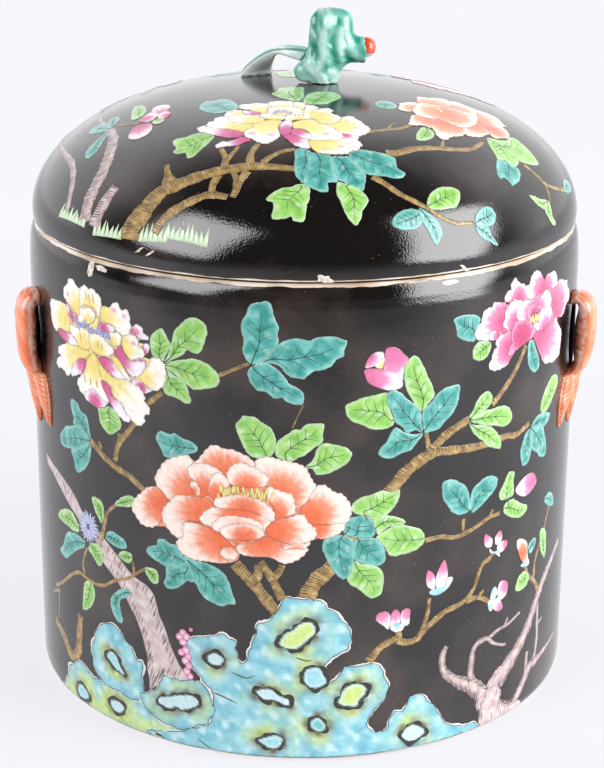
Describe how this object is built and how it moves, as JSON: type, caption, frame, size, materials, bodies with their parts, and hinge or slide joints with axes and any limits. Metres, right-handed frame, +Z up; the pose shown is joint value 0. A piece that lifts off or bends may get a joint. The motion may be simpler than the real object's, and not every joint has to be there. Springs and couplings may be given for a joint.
{
  "type": "covered jar",
  "caption": "Cylindrical black-glazed porcelain jar with luted lug handles and a lift-off domed cover with a modelled finial, painted with peonies and rocks.",
  "frame": {"origin": "centre of the foot on the surface the jar stands on", "axes": "+Z up along the jar's axis, -Y towards the painted front, +X towards the right handle"},
  "size_m": [0.2378, 0.23, 0.2809],
  "materials": {
    "black_glaze": "glossy fired glaze",
    "coral_enamel": "glossy enamel",
    "green_enamel": "glossy enamel",
    "red_enamel": "glossy enamel"
  },
  "bodies": {
    "jar": {"jar_body": "black_glaze", "left_handle_strap": "coral_enamel", "left_handle_leaf_1": "coral_enamel", "left_handle_leaf_2": "coral_enamel", "right_handle_strap": "coral_enamel", "right_handle_leaf_1": "coral_enamel", "right_handle_leaf_2": "coral_enamel"},
    "cover": {"cover_dome": "black_glaze", "finial_pod": "green_enamel", "finial_stem": "green_enamel", "finial_bud": "red_enamel"}
  },
  "joints": [
    {"name": "cover_lift", "type": "slide", "parent": "jar", "child": "cover", "axis": [0, 0, 1], "range_m": [0, 0.1]}
  ]
}
